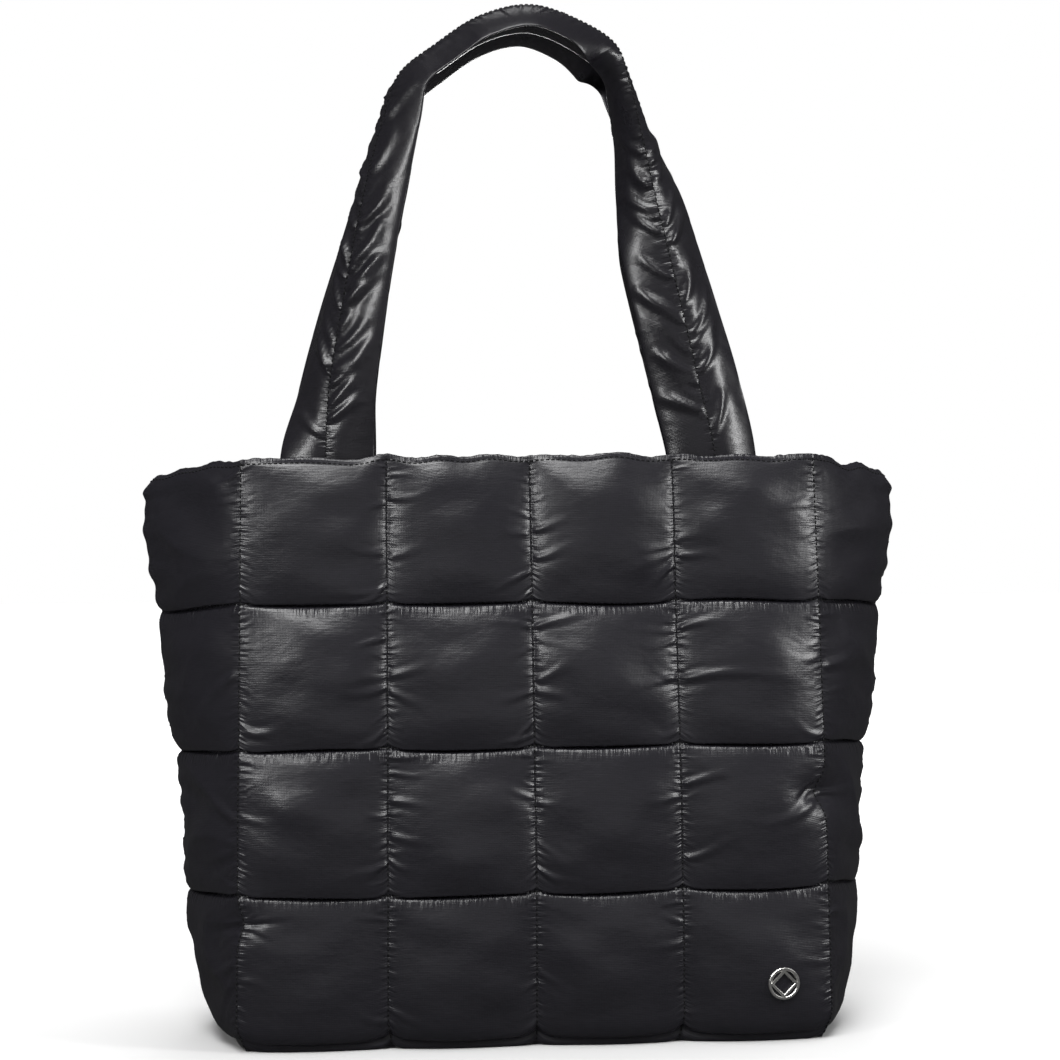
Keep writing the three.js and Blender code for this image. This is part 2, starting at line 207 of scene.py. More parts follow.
FLOOR_GAP = 0.0003
THREAD_HOLD = 0.0008  # how far from its thread a fold begins
FOLD_FADE = 0.005
SEAM_SOFT = 0.02
RIM_ROLL = (30, 60, 90, 120, 150)
RIM_FACING = (1, 0.985, 0.97)
RIM_POINT_STEP = 0.0008
RIM_EDGE_RIPPLE = 0.0003
RIM_EASE = 0.006  # under the rim the cloth gathers as if its seam were this much further up
RIM_STITCHES = 5  # rows of points from the rim down to its thread
# Small gathers beside the seams: the least and most of their length, width and depth.
LONG_GATHER = ((0.014, 0.03), (0.0018, 0.0028), (0.0005, 0.001))
SHORT_GATHER = ((0.004, 0.012), (0.0009, 0.0015), (0.0003, 0.0007))
LONG_GATHER_SHARE = 0.12
GATHER_SPACING = (0.003, 0.0085)
GATHER_TILT = (-0.4, 0.35)
SEAM_END = 0.004
# The folds that show most, each from a seam: column, side of it, height, tilt in degrees,
# then length, width and depth in millimetres.
LONG_FOLDS = (
    (-1, -1, 0.923, -8, 16, 2.2, 1.0),
    (-1, -1, 0.843, -4, 23, 2.4, 1.3),
    (-1, -1, 0.788, -38, 24, 2.4, 1.2),
    (-1, 1, 0.834, 15, 25, 2.6, 0.8),
    (-1, -1, 0.693, -8, 24, 2.2, 1.3),
    (-1, -1, 0.610, -15, 25, 2.4, 1.3),
    (-1, -1, 0.547, -36, 23, 2.4, 1.1),
    (-1, 1, 0.628, 12, 26, 2.6, 1.0),
    (-1, 1, 0.606, -22, 25, 2.4, 1.1),
    (-1, 1, 0.365, -9, 26, 2.2, 0.9),
    (-1, 1, 0.324, -16, 16, 2.0, 1.0),
    (-1, -1, 0.395, -3, 15, 1.8, 1.1),
    (-1, -1, 0.319, -14, 20, 2.2, 1.2),
    (0, -1, 0.871, -5, 22, 2.4, 1.2),
    (0, -1, 0.808, -12, 20, 2.4, 1.2),
    (0, -1, 0.775, -30, 14, 2.0, 1.0),
    (0, -1, 0.674, -20, 16, 2.0, 1.0),
    (0, -1, 0.603, -10, 26, 2.4, 1.3),
    (0, -1, 0.555, -30, 20, 2.2, 1.1),
    (0, 1, 0.873, 17, 24, 2.4, 1.2),
    (0, 1, 0.829, 14, 26, 2.4, 1.1),
    (0, 1, 0.708, 12, 34, 2.8, 1.3),
    (0, 1, 0.603, -3, 22, 2.4, 1.2),
    (0, 1, 0.413, -12, 14, 2.0, 0.9),
    (0, 1, 0.347, -20, 18, 2.0, 1.0),
    (0, 1, 0.306, -16, 18, 2.2, 1.0),
    (0, -1, 0.419, 10, 20, 2.0, 0.9),
    (1, -1, 0.820, -24, 22, 2.4, 1.1),
    (1, -1, 0.623, -9, 32, 2.6, 1.2),
    (1, -1, 0.421, -14, 22, 2.2, 0.9),
    (1, 1, 0.832, 10, 28, 2.6, 1.2),
    (1, 1, 0.703, 14, 30, 2.6, 1.2),
    (1, 1, 0.617, 13, 70, 3.4, 1.6),
    (1, 1, 0.437, 18, 33, 2.8, 1.4),
    (1, 1, 0.314, 22, 36, 2.6, 1.2),
    (2, -1, 0.405, -20, 48, 3.2, 1.2),
    (2, -1, 0.440, -28, 30, 2.6, -1.2),
    (2, 1, 0.420, -8, 34, 3.2, 1.6),
    (2, 1, 0.640, 10, 40, 4.0, 1.6),
    (2, 1, 0.215, -12, 30, 3.4, 1.2),
    (-2, 1, 0.212, 4, 30, 2.2, -1.4),
    (-2, 1, 0.200, -6, 20, 2.0, -1.2),
    (-2, -1, 0.212, -18, 38, 2.8, -1.8),
    (-2, -1, 0.150, -25, 34, 3.6, 1.6),
    (-2, -1, 0.110, -35, 30, 3.2, -1.4),
    (-2, -1, 0.390, 24, 36, 4.0, 1.6),
    (-2, -1, 0.330, -20, 34, 4.0, -1.6),
    (-2, -1, 0.640, -30, 44, 4.2, 1.4),
)


def smooth(p, q, m, n, t):
    """A curve from p to q that leaves p at slope m and reaches q at slope n."""
    return p + t * (m + t * (3 * (q - p) - 2 * m - n + t * (2 * (p - q) + m + n)))


def bell(distance, width):
    """From 1 at no distance to nearly nothing at twice the width."""
    return np.exp(-((distance / width) ** 2))


def along(table, key, name, at):
    """A column of a table at places between its rows, on a smooth curve that doesn't overshoot."""
    x, y = np.array(table[key], float), np.array(table[name], float)
    rise = np.diff(y) / np.diff(x)
    slope = np.empty_like(y)
    slope[0], slope[-1] = rise[0], rise[-1]
    product = rise[:-1] * rise[1:]
    total = rise[:-1] + rise[1:]
    slope[1:-1] = np.where(product > 0, 2 * product / np.where(total == 0, 1, total), 0)
    i = np.clip(np.searchsorted(x, at, side="right") - 1, 0, len(rise) - 1)
    span = x[i + 1] - x[i]
    t = np.clip((at - x[i]) / span, 0, 1)
    return smooth(y[i], y[i + 1], slope[i] * span, slope[i + 1] * span, t)


def uneven(x, z, wavelength, seed, waves=14):
    """Smooth, even random waves of about one size, between about -1 and 1."""
    chance = np.random.default_rng(seed)
    total = 0
    for _ in range(waves):
        turn = chance.uniform(0, 2 * math.pi)
        pace = 2 * math.pi / (wavelength * chance.uniform(0.7, 1.5))
        total = total + np.cos(pace * (x * math.cos(turn) + z * math.sin(turn)) + chance.uniform(0, 7))
    return total / math.sqrt(waves)


def wall_point(column, height):
    """The middle of the wall, from -3 to 3 across the panel and from 0 to 1 up it."""
    shape = lambda name: along(WALL_SHAPE, "height", name, height)
    in_front = np.minimum(np.abs(column), FOLD)
    on_side = np.abs(column) - in_front
    under = UNDERTURN * shape("underturn")
    fold_x = (BASE_WIDTH + (MOUTH_FRONT_WIDTH - BASE_WIDTH) * height) / 2 - under
    flare = shape("flare") * (MOUTH_WIDTH - MOUTH_FRONT_WIDTH) / 2
    half_depth = (BASE_DEPTH + (MOUTH_DEPTH - BASE_DEPTH) * shape("lean")) / 2 - under
    front = half_depth + BELLY * shape("belly") * (1 - (in_front / FOLD) ** 2)
    x = fold_x * in_front / FOLD + flare * on_side
    y = -(front + (SEAM_GAP / 2 - front) * on_side)
    z = PANEL_LIFT + (BODY_HEIGHT - PANEL_LIFT) * height - RIM_DIP * shape("dip") * on_side

    # Nothing sewn is quite straight, and the corners of the rim are rounded off.
    sideways, upwards = column * COLUMN_WIDTH, height * BODY_HEIGHT
    loose = np.clip(height / 0.1, 0, 1) * np.clip((SIDE_SEAM - np.abs(column)) / 0.2, 0, 1)
    z = z + SEAM_WANDER * loose * uneven(sideways, upwards, wavelength=0.11, seed=3)
    y = y + SEAM_WANDER * 1.4 * loose * uneven(sideways, upwards, wavelength=0.09, seed=4)
    rim = np.clip((height - 0.9) / 0.1, 0, 1)
    z = z + RIM_RIPPLE * rim * loose * uneven(sideways, 0, wavelength=0.028, seed=6)
    notches = sum(bell(height - top, 0.014) for top in ROW_TOPS[1:-1])
    x = x - on_side**2 * SIDE_NOTCH * notches
    ripple = uneven(upwards, 0, wavelength=0.014, seed=5)
    x = x + SIDE_RIPPLE * on_side**3 * ripple * np.clip(height / 0.05, 0, 1)
    corner = np.clip((np.abs(column) - SIDE_SEAM + CORNER_REACH) / CORNER_REACH, 0, 1) ** 2
    high = np.clip((height - 0.93) / 0.07, 0, 1) ** 2
    z = z - CORNER_DROP * corner * high
    x = x - CORNER_DROP / 2 * corner * high**2
    for at, up, depth in KINKS:
        near = np.exp(-(((column - at) / 0.2) ** 2) - ((height - up) / 0.028) ** 2)
        x = x - depth * near
        y = y + 0.3 * depth * near
    return np.stack([np.sign(column) * x, y, z], -1)


def wall_facing(column, height):
    """Which way the wall faces at a place that isn't on a fold."""
    column = np.clip(column, PROBE - SIDE_SEAM, SIDE_SEAM - PROBE)
    height = np.clip(height, PROBE, 1 - PROBE)
    across = wall_point(column + PROBE, height) - wall_point(column - PROBE, height)
    up = wall_point(column, height + PROBE) - wall_point(column, height - PROBE)
    normal = np.cross(across, up)
    return normal / np.linalg.norm(normal, axis=-1, keepdims=True)


def wall_normal(column, height):
    """Where the wall faces, halfway between its two sides at a fold, and its stretch there."""
    left = wall_facing(column - 2 * PROBE, height)
    normal = left + wall_facing(column + 2 * PROBE, height)
    normal /= np.linalg.norm(normal, axis=-1, keepdims=True)
    at_seam = np.abs(column) > SIDE_SEAM - 1e-6
    normal[at_seam] = np.stack([np.sign(column), 0 * column, 0 * column], -1)[at_seam]
    return normal, 1 / np.sum(normal * left, -1)


def skin(column, height, side):
    """The outer skin (side 1) or the inner one (side -1), over the wadding."""
    normal, stretch = wall_normal(column, height)
    row = np.clip(np.searchsorted(ROW_TOPS, height, side="left") - 1, 0, len(ROW_FILL) - 1)
    tops = np.array(ROW_TOPS)
    across = np.abs(np.sin(np.pi * column))
    up = np.clip((height - tops[row]) / (tops[row + 1] - tops[row]), 0, 1)
    rise = np.abs(np.sin(np.pi * up**SAG))
    fill = np.array(ROW_FILL)[row] * np.where(np.abs(column) > FOLD, SIDE_FILL, 1)
    puff = (OUTER_PUFF if side > 0 else INNER_PUFF) * fill * across**PLUMP_ACROSS * rise**PLUMP_UP
    offset = side * (WALL_SEAM / 2 * stretch + puff)
    point = wall_point(column, height) + normal * offset[..., None]
    if side > 0:
        lip = np.clip(3 * across, 0, 1) ** 0.6 * rise**0.35
        point[..., 2] -= DROOP * fill * lip * (1 - up) ** 3
    return point


def lay_out(seams, steps):
    """Places from seam to seam, with the same number of steps between any two."""
    places = [np.linspace(a, b, steps + 1)[1:] for a, b in zip(seams, seams[1:])]
    return np.concatenate([[seams[0]], *places])


def grid_faces(rows, columns):
    """The faces between rows of points."""
    first = (np.arange(rows - 1)[:, None] * columns + np.arange(columns - 1)).ravel()
    return np.stack([first, first + 1, first + columns + 1, first + columns], -1)


def grid_normals(points):
    """Which way a skin faces at each of its points."""
    normal = np.cross(np.gradient(points, axis=1), np.gradient(points, axis=0))
    return normal / np.maximum(np.linalg.norm(normal, axis=-1, keepdims=True), 1e-12)


def fill_cloth(points, faces, cut, held, pressure):
    """Lets a padded skin settle. It is held along its seams, and cut is its shape before sewing."""
    cloth = new_mesh("cloth", points.reshape(-1, 3), faces)
    cloth.shape_key_add(name="sewn")
    pattern = cloth.shape_key_add(name="cut")
    pattern.data.foreach_set("co", cut.ravel())
    group = cloth.vertex_groups.new(name="seams")
    for hold in np.unique(held):
        group.add(np.flatnonzero(held.ravel() == hold).tolist(), float(hold), "REPLACE")
    modifier = cloth.modifiers.new("cloth", "CLOTH")
    settings = modifier.settings
    settings.rest_shape_key = pattern
    settings.vertex_group_mass = "seams"
    settings.quality = 6
    settings.mass = 0.05
    settings.air_damping = 1
    settings.tension_stiffness = settings.compression_stiffness = 25
    settings.shear_stiffness = 8
    settings.bending_stiffness = 0.02
    settings.use_pressure = True
    settings.uniform_pressure_force = pressure
    settings.effector_weights.gravity = 0.2
    modifier.collision_settings.use_collision = False
    for step in range(1, SIM_FRAMES + 1):
        bpy.context.scene.frame_set(step)
    settled = cloth.evaluated_get(bpy.context.evaluated_depsgraph_get()).to_mesh()
    result = np.empty(len(settled.vertices) * 3)
    settled.vertices.foreach_get("co", result)
    bpy.context.scene.frame_set(1)
    bpy.data.objects.remove(cloth)
    return result.reshape(points.shape)


def finer(steps, into):
    """Weights that redraw a row of points as a smooth curve, with more of them near its ends."""
    t = np.linspace(0, 1, into + 1)
    t = (t - CROWDING * np.sin(2 * np.pi * t) / (2 * np.pi)) * steps
    i = np.minimum(t.astype(int), steps - 1)
    f = t - i
    weights = np.zeros((into + 1, steps + 3))
    taps = (
        -f / 2 + f**2 - f**3 / 2,
        1 - 2.5 * f**2 + 1.5 * f**3,
        f / 2 + 2 * f**2 - 1.5 * f**3,
        -(f**2) / 2 + f**3 / 2,
    )
    for tap, weight in enumerate(taps):
        weights[np.arange(into + 1), i + tap] += weight
    weights[:, 1] += 2 * weights[:, 0]
    weights[:, 2] -= weights[:, 0]
    weights[:, -2] += 2 * weights[:, -1]
    weights[:, -3] -= weights[:, -1]
    return weights[:, 1:-1]


def sharper(grid, row_steps, column_steps, rows_into, columns_into):
    """Every quilted square redrawn with more points, closer together beside its seams."""
    up, across = finer(row_steps, rows_into), finer(column_steps, columns_into)
    rows, columns = (grid.shape[0] - 1) // row_steps, (grid.shape[1] - 1) // column_steps
    fine = np.empty((rows * rows_into + 1, columns * columns_into + 1, grid.shape[2]))
    for row in range(rows):
        for column in range(columns):
            r, c = row * row_steps, column * column_steps
            square = grid[r : r + row_steps + 1, c : c + column_steps + 1]
            R, C = row * rows_into, column * columns_into
            fine[R : R + rows_into + 1, C : C + columns_into + 1] = np.einsum(
                "ai,ijk,bj->abk", up, square, across
            )
    return fine


def crease(folds, x, z, start, heading, length, width, depth, bend, taper=1.2):
    """One fold in the skin. It is highest soon after it leaves its seam, and then fades out."""
    near = (np.abs(x - start[0]) < length + 3 * width) & (np.abs(z - start[1]) < length + 3 * width)
    rows, columns = np.flatnonzero(near.any(1)), np.flatnonzero(near.any(0))
    if not len(rows):
        return
    part = np.s_[rows[0] : rows[-1] + 1, columns[0] : columns[-1] + 1]
    dx, dz = x[part] - start[0], z[part] - start[1]
    run = dx * math.cos(heading) + dz * math.sin(heading)
    off = dz * math.cos(heading) - dx * math.sin(heading) - bend * run**2 / length
    off = off / (width * (0.6 + 0.6 * np.clip(run / length, 0, 1)))
    fade = np.clip(run / (0.1 * length), 0, 1) * np.clip(1 - run / length, 0, 1) ** taper
    folds[part] += depth * fade * (1 - 0.9 * off**2) * np.exp(-(off**2) / 1.5)


def seam_place(column):
    """How far a column is from the middle of the panel, measured along the cloth."""
    in_front = np.clip(column, -FOLD, FOLD)
    return COLUMN_WIDTH * in_front + SIDE_COLUMN_WIDTH * (column - in_front)


def gathered(settled, seed, long_folds):
    """The settled skin at full detail, with the small folds that run out from upright seams."""
    columns, heights = np.meshgrid(lay_out(SEAMS_ACROSS, SIM_STEPS), lay_out(ROW_TOPS, SIM_STEPS))
    grid = np.concatenate([settled, columns[..., None], heights[..., None]], -1)
    fine = sharper(grid, SIM_STEPS, SIM_STEPS, ROW_STEPS, COLUMN_STEPS)
    points, column, height = fine[..., :3], fine[..., 3], fine[..., 4]
    x, z = seam_place(column), BODY_HEIGHT * height
    chance = np.random.default_rng(seed)
    folds = np.zeros(column.shape)
    for seam in SEAMS_ACROSS:
        for side in (-1, 1):
            if abs(seam + side / 2) > SIDE_SEAM:
                continue
            beyond = (x - seam_place(seam)) * side > -1e-6
            one_side = np.zeros(column.shape)
            for fold_seam, fold_side, up, tilt, length, width, depth in long_folds:
                if (fold_seam, fold_side) == (seam, side):
                    heading = math.radians(tilt) if side > 0 else math.pi - math.radians(tilt)
                    start = (seam_place(seam), up * BODY_HEIGHT)
                    bend = chance.uniform(-0.25, 0.25)
                    size = (length / 1000, width / 1000, depth / 1000)
                    crease(one_side, x, z, start, heading, *size, bend)
            at = SEAM_END
            while at < BODY_HEIGHT - SEAM_END:
                kind = LONG_GATHER if chance.random() < LONG_GATHER_SHARE else SHORT_GATHER
                length, width, depth = (chance.uniform(*limits) for limits in kind)
                tilt = chance.uniform(*GATHER_TILT)
                heading = tilt if side > 0 else math.pi - tilt
                start = (seam_place(seam), at)
                bend = chance.uniform(-0.3, 0.3)
                crease(one_side, x, z, start, heading, length, width, depth, bend)
                at += chance.uniform(*GATHER_SPACING)
            folds += np.where(beyond, one_side, 0)
    to_row = np.min(np.abs(height[..., None] - np.array(ROW_TOPS)), -1) * BODY_HEIGHT
    to_line = np.min(np.abs(height[..., None] - np.array(ROW_TOPS[1:-1])), -1) * BODY_HEIGHT
    to_column = np.abs(x - seam_place(np.round(column)))
    folds *= np.clip(to_row / FOLD_FADE, 0, 1) * np.clip(to_column / THREAD_HOLD, 0, 1)
    soft = np.clip(np.minimum(to_row, to_column) / SEAM_SOFT, 0, 1)
    folds += SLACK_RELIEF * soft * uneven(x * 0.7, z, 0.03, seed + 1, 24)
    on_side = np.clip(np.abs(column) - FOLD, 0, 1)
    crumpled = 0.55 - np.abs(uneven(x, z * 1.4, 0.075, seed + 2, 24))
    folds += SIDE_CRUMPLE * soft * np.sin(np.pi * on_side) ** 0.7 * crumpled
    folds -= SEAM_GROOVE * bell(to_line, 0.0015)
    # A line of thread just above the floor draws the skin in where it meets the base.
    at_corner = bell(np.abs(column) - FOLD, 0.2)
    folds -= HEM_GROOVE * (1 - 0.85 * at_corner) * bell(z - HEM_HEIGHT, 0.0016)
    return points + grid_normals(points) * folds[..., None], column, height


def turned_in(points, column, height):
    """Adds the turned edges: over the rim and down inside it, and in at the bottom."""
    top_columns = column[-1]
    ones = np.ones_like(top_columns)
    normal = wall_normal(top_columns, ones)[0]
    middle = wall_point(top_columns, ones)
    roll = WALL_SEAM / 2
    rows = []
    for angle in np.radians(RIM_ROLL):
        ripple = RIM_EDGE_RIPPLE * uneven(seam_place(top_columns), 0 * ones, 0.004, 9) * math.sin(angle)
        lift = np.array([0, 0, 1]) * (roll * math.sin(angle) + ripple)[:, None]
        rows.append(middle + normal * roll * math.cos(angle) + lift)
    for down in RIM_FACING:
        rows.append(wall_point(top_columns, ones * down) - wall_normal(top_columns, ones * down)[0] * roll)
    points = np.concatenate([points, np.array(rows)])
    bottom = wall_point(top_columns, 0 * ones) - wall_normal(top_columns, 0 * ones)[0] * roll
    return np.concatenate([bottom[None], points])


def give_detail(piece, x, z, under_seam, beside_seam):
    """What the nylon needs to know: its own flat measure, and how near each seam is, in metres."""
    mesh = piece.data
    corner = np.empty(len(mesh.loops), int)
    mesh.loops.foreach_get("vertex_index", corner)
    flat = mesh.uv_layers.new(name="cloth")
    flat.data.foreach_set("uv", np.stack([x.ravel(), z.ravel()], -1)[corner].ravel())
    for name, distance in (("under_seam", under_seam), ("beside_seam", beside_seam)):
        mesh.attributes.new(name, "FLOAT", "POINT").data.foreach_set("value", distance.ravel())


def quilted_panel(name, settled, seed, long_folds, turn):
    """One finished panel, turned to its side of the bag. Its seams are kept for the stitching."""
    points, column, height = gathered(settled, seed, long_folds)
    hemmed = turned_in(points, column, height)
    extra = len(hemmed) - len(points) - 1
    x, z = seam_place(column), BODY_HEIGHT * height
    tops = np.array(ROW_TOPS)
    row = np.clip(np.searchsorted(tops, height - 1e-9, side="left") - 1, 0, len(ROW_FILL) - 1)
    under_seam = (tops[row + 1] - height) * BODY_HEIGHT
    beside_seam = np.abs(x - seam_place(np.round(column)))
    under_seam += np.where(row == len(ROW_FILL) - 1, RIM_EASE, 0)
    pad = ((1, extra), (0, 0))
    points = hemmed * turn
    points[..., 2] = np.maximum(points[..., 2], FLOOR_GAP)
    outward = grid_normals(points)
    for column_seam in range(-FOLD, FOLD + 1):
        i = (column_seam + SIDE_SEAM) * COLUMN_STEPS
        sewn_lines.append((points[3:-extra, i], outward[3:-extra, i]))
    for row_seam in (1, 2, 3):
        i = row_seam * ROW_STEPS + 1
        sewn_lines.append((points[i, 2:-2], outward[i, 2:-2]))
    i = len(points) - extra - RIM_STITCHES
    sewn_lines.append((points[i, 2:-2], outward[i, 2:-2]))
    piece = new_mesh(name, points.reshape(-1, 3), grid_faces(*points.shape[:2]))
    z = np.pad(z, pad, "edge")
    z[-extra:] += np.arange(1, extra + 1)[:, None] * RIM_POINT_STEP
    x, under_seam, beside_seam = (np.pad(values, pad, "edge") for values in (x, under_seam, beside_seam))
    give_detail(piece, x, z, under_seam, beside_seam)
    return piece


def add_node(material, kind, inputs=None, **settings):
    """A node of a finish. An input is a value or the output that feeds it."""
    node = material.node_tree.nodes.new(kind)
    for key, value in settings.items():
        setattr(node, key, value)
    for key, value in (inputs or {}).items():
        if isinstance(value, bpy.types.NodeSocket):
            material.node_tree.links.new(value, node.inputs[key])
        else:
            node.inputs[key].default_value = value
    return node


# The nylon's grain, in waves to a metre along its own two ways, and its relief in metres.
STREAKS = (160, 1400, 0)
PATCHES = (25, 25, 0)
UNEVEN_PULL = (34, 60, 0)
GATHERS = (420, 40, 0)
TUCKS = (50, 360, 0)
CRINKLES = (90, 190, 0)
GATHER_RELIEF = {"From Min": 0.0085, "From Max": 0.0008, "To Min": 0.0, "To Max": 0.0017}
TUCK_RELIEF = {"From Min": 0.0050, "From Max": 0.0008, "To Min": 0.0, "To Max": 0.0009}
CRINKLE_RELIEF = 0.00022
STREAK_RELIEF = 0.00002
THREAD_SPACING = 0.00045
THREAD_RELIEF = (("X", 0.00001), ("Y", 0.00002))
GLOSS_SPREAD = (-0.05, 0.09)


def black_nylon(name, colour, streak, roughness):
    """Glossy woven nylon: streaks and threads along its width, and gathers beside its seams."""
    material = bpy.data.materials.new(name)
    material.use_nodes = True
    surface = material.node_tree.nodes["Principled BSDF"]
    surface.inputs["Specular IOR Level"].default_value = 0.5
    flat = add_node(material, "ShaderNodeUVMap", uv_map="cloth").outputs[0]

    def noise(scale, detail=2.0):
        place = add_node(material, "ShaderNodeVectorMath", {0: flat, 1: scale}, operation="MULTIPLY")
        inputs = {"Vector": place.outputs[0], "Scale": 1.0, "Detail": detail}
        return add_node(material, "ShaderNodeTexNoise", inputs, noise_dimensions="2D").outputs["Fac"]

    def calculate(operation, first, second):
        inputs = {0: first, 1: second}
        return add_node(material, "ShaderNodeMath", inputs, operation=operation).outputs[0]

    def wave(axis, spacing):
        inputs = {"Vector": flat, "Scale": 1 / spacing / math.pi * 0.5, "Distortion": 0.4}
        inputs["Detail"] = 0.0
        return add_node(
            material, "ShaderNodeTexWave", inputs, bands_direction=axis, wave_profile="SIN"
        ).outputs["Fac"]

    streaks = noise(STREAKS)
    patches = noise(PATCHES, 3.0)
    inputs = {0: streaks, 6: colour, 7: streak}
    mixed = add_node(material, "ShaderNodeMix", inputs, data_type="RGBA").outputs[2]
    smoothest, roughest = roughness + GLOSS_SPREAD[0], roughness + GLOSS_SPREAD[1]
    inputs = {"Value": patches, "To Min": smoothest, "To Max": roughest}
    gloss = add_node(material, "ShaderNodeMapRange", inputs).outputs[0]

    uneven_pull = add_node(
        material,
        "ShaderNodeMapRange",
        {"Value": noise(UNEVEN_PULL), "From Min": 0.35, "From Max": 0.65, "To Min": 0.3, "To Max": 1.5},
    ).outputs[0]
    under_seam = add_node(material, "ShaderNodeAttribute", attribute_name="under_seam").outputs["Fac"]
    beside_seam = add_node(material, "ShaderNodeAttribute", attribute_name="beside_seam").outputs["Fac"]
    below = add_node(material, "ShaderNodeMapRange", {"Value": under_seam, **GATHER_RELIEF}).outputs[0]
    beside = add_node(material, "ShaderNodeMapRange", {"Value": beside_seam, **TUCK_RELIEF}).outputs[0]
    gathers = calculate("SUBTRACT", noise(GATHERS), 0.5)
    gathers = calculate("MULTIPLY", calculate("MULTIPLY", gathers, below), uneven_pull)
    tucks = calculate("SUBTRACT", noise(TUCKS), 0.5)
    height = calculate("ADD", gathers, calculate("MULTIPLY", tucks, beside))
    reliefs = [(streaks, STREAK_RELIEF), (noise(CRINKLES), CRINKLE_RELIEF)]
    reliefs += [(wave(axis, THREAD_SPACING), raised) for axis, raised in THREAD_RELIEF]
    for pattern, raised in reliefs:
        height = calculate("ADD", height, calculate("MULTIPLY", pattern, raised))
    inputs = {"Strength": 1.0, "Distance": 1.0, "Height": height}
    bump = add_node(material, "ShaderNodeBump", inputs).outputs[0]
    for output, socket in ((mixed, "Base Color"), (gloss, "Roughness"), (bump, "Normal")):
        material.node_tree.links.new(output, surface.inputs[socket])
    return material


sewn_lines = []
column_at, height_at = np.meshgrid(lay_out(SEAMS_ACROSS, SIM_STEPS), lay_out(ROW_TOPS, SIM_STEPS))
held = np.where(np.abs(column_at) > FOLD, SIDE_HOLD, 0.0)
held[:, ::SIM_STEPS] = 1
held[::SIM_STEPS] = 1
settled = skin(column_at, height_at, 1)
cut = settled * np.array(CLOTH_SLACK)
settled = fill_cloth(settled, grid_faces(*held.shape), cut, held, PANEL_PRESSURE)

SHELL_BLACKS = ((0.0080, 0.0075, 0.0100, 1), (0.0122, 0.0116, 0.0150, 1))
SHELL_ROUGHNESS = 0.31
shell_nylon = black_nylon("black_nylon", *SHELL_BLACKS, SHELL_ROUGHNESS)
front_panel = quilted_panel("front_panel_skin", settled, 11, LONG_FOLDS, turn=np.array([1, 1, 1]))
front_panel.data.materials.append(shell_nylon)
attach(front_panel, "root")
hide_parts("front_panel")

# Back panel
# The same piece as the front, turned to face the other way. The two are sewn together down the
# middle of each side.
back_panel = quilted_panel("back_panel_skin", settled, 23, (), turn=np.array([-1, -1, 1]))
back_panel.data.materials.append(shell_nylon)
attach(back_panel, "root")
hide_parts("back_panel")

# Lining
# A lighter black cloth that covers the inside of the bag. It hangs from the turned rim, quilted
# with the walls, and is a little slack between their seams. Its halves are joined at the sides.
LINING_STEPS = 10
LINING_TOP = 0.982
LINING_BLACKS = ((0.012, 0.012, 0.013, 1), (0.018, 0.018, 0.019, 1))
LINING_ROUGHNESS = 0.5


def twice(values):
    """The same values for both halves of a piece."""
    return np.tile(values.ravel(), 2)


column_at, height_at = np.meshgrid(lay_out(SEAMS_ACROSS, LINING_STEPS), lay_out(ROW_TOPS, LINING_STEPS))
height_at = np.minimum(height_at, LINING_TOP)
inside = skin(column_at, height_at, -1).reshape(-1, 3)
x, z = seam_place(column_at), BODY_HEIGHT * height_at
left_edge = np.arange(x.shape[0]) * x.shape[1]
right_edge = left_edge + x.shape[1] - 1
inward_faces = grid_faces(*x.shape)[:, ::-1]
joins = [
    np.stack([one[1:], other[1:], other[:-1], one[:-1]], -1)
    for one, other in ((right_edge, left_edge + x.size), (right_edge + x.size, left_edge))
]
lining = new_mesh(
    "lining",
    np.concatenate([inside, inside * np.array([-1, -1, 1])]),
    np.concatenate([inward_faces, inward_faces + x.size, *joins]),
)
away_from_seams = np.full(2 * x.size, 1.0)
give_detail(lining, twice(x), twice(z), away_from_seams, away_from_seams)
lining.data.materials.append(black_nylon("black_lining", *LINING_BLACKS, LINING_ROUGHNESS))
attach(lining, "root")
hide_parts("front_panel", "back_panel")

# Base
# A flat padded piece in the bottom of the bag, of the same quilted nylon. It is sewn to the lower
# edges of the walls.
BASE_EDGE = 0.004
BASE_PUFF = 0.004
BASE_LIFT = 0.0012
BASE_ROWS = 2
BASE_COLUMNS = 4
BASE_STEPS = 20

margin = WALL_SEAM / 2 + UNDERTURN + SEAM_GAP
half_width = BASE_WIDTH / 2 - margin - WALL_SEAM / 2
half_depth = BASE_DEPTH / 2 - margin
across, deep = np.meshgrid(
    np.linspace(0, BASE_COLUMNS, BASE_COLUMNS * BASE_STEPS + 1),
    np.linspace(0, BASE_ROWS, BASE_ROWS * BASE_STEPS + 1),
)
bulge = np.abs(np.sin(np.pi * across) * np.sin(np.pi * deep)) ** 0.6
x, y = half_width * (across / BASE_COLUMNS * 2 - 1), half_depth * (deep / BASE_ROWS * 2 - 1)
upper = np.stack([x, y, BASE_EDGE + BASE_PUFF * bulge], -1)
lower = np.stack([x, y, BASE_LIFT * (1 - np.clip(bulge * 1.6, 0, 1))], -1)
base = new_mesh(
    "base_pad",
    np.concatenate([upper.reshape(-1, 3), lower.reshape(-1, 3)]),
    np.concatenate([grid_faces(*x.shape), grid_faces(*x.shape)[:, ::-1] + x.size]),
)
beside = np.abs(across - np.round(across)) * half_width / BASE_COLUMNS * 2
give_detail(base, twice(x), twice(y), np.full(2 * x.size, 1.0), twice(beside))
base.data.materials.append(shell_nylon)
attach(base, "root")
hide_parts("base_panel")

